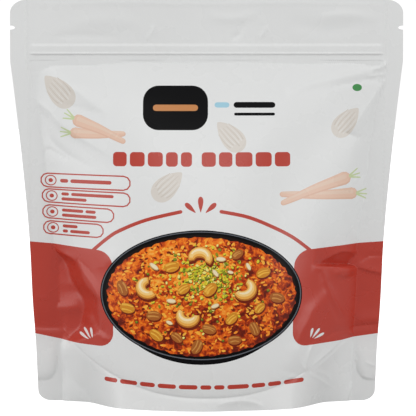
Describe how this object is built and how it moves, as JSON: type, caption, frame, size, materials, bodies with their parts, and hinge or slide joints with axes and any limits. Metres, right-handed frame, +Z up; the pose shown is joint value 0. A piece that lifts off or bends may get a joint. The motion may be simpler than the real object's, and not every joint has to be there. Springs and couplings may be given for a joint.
{
  "type": "stand-up food pouch",
  "caption": "Filled, shut stand-up pouch of printed film with a press-to-close strip, tear notches, sealed sides and a gusseted foot.",
  "frame": {"origin": "middle of the pouch's footprint, on the surface it stands on", "axes": "+Z up, +X to the right of the printed front, the printed front faces -Y"},
  "size_m": [0.165, 0.0708, 0.169],
  "materials": {
    "white_film": "satin white film with printed red side fields, a dark bowl of orange food and small printed shapes"
  },
  "bodies": {
    "root": {"pouch": "white_film"}
  },
  "joints": []
}
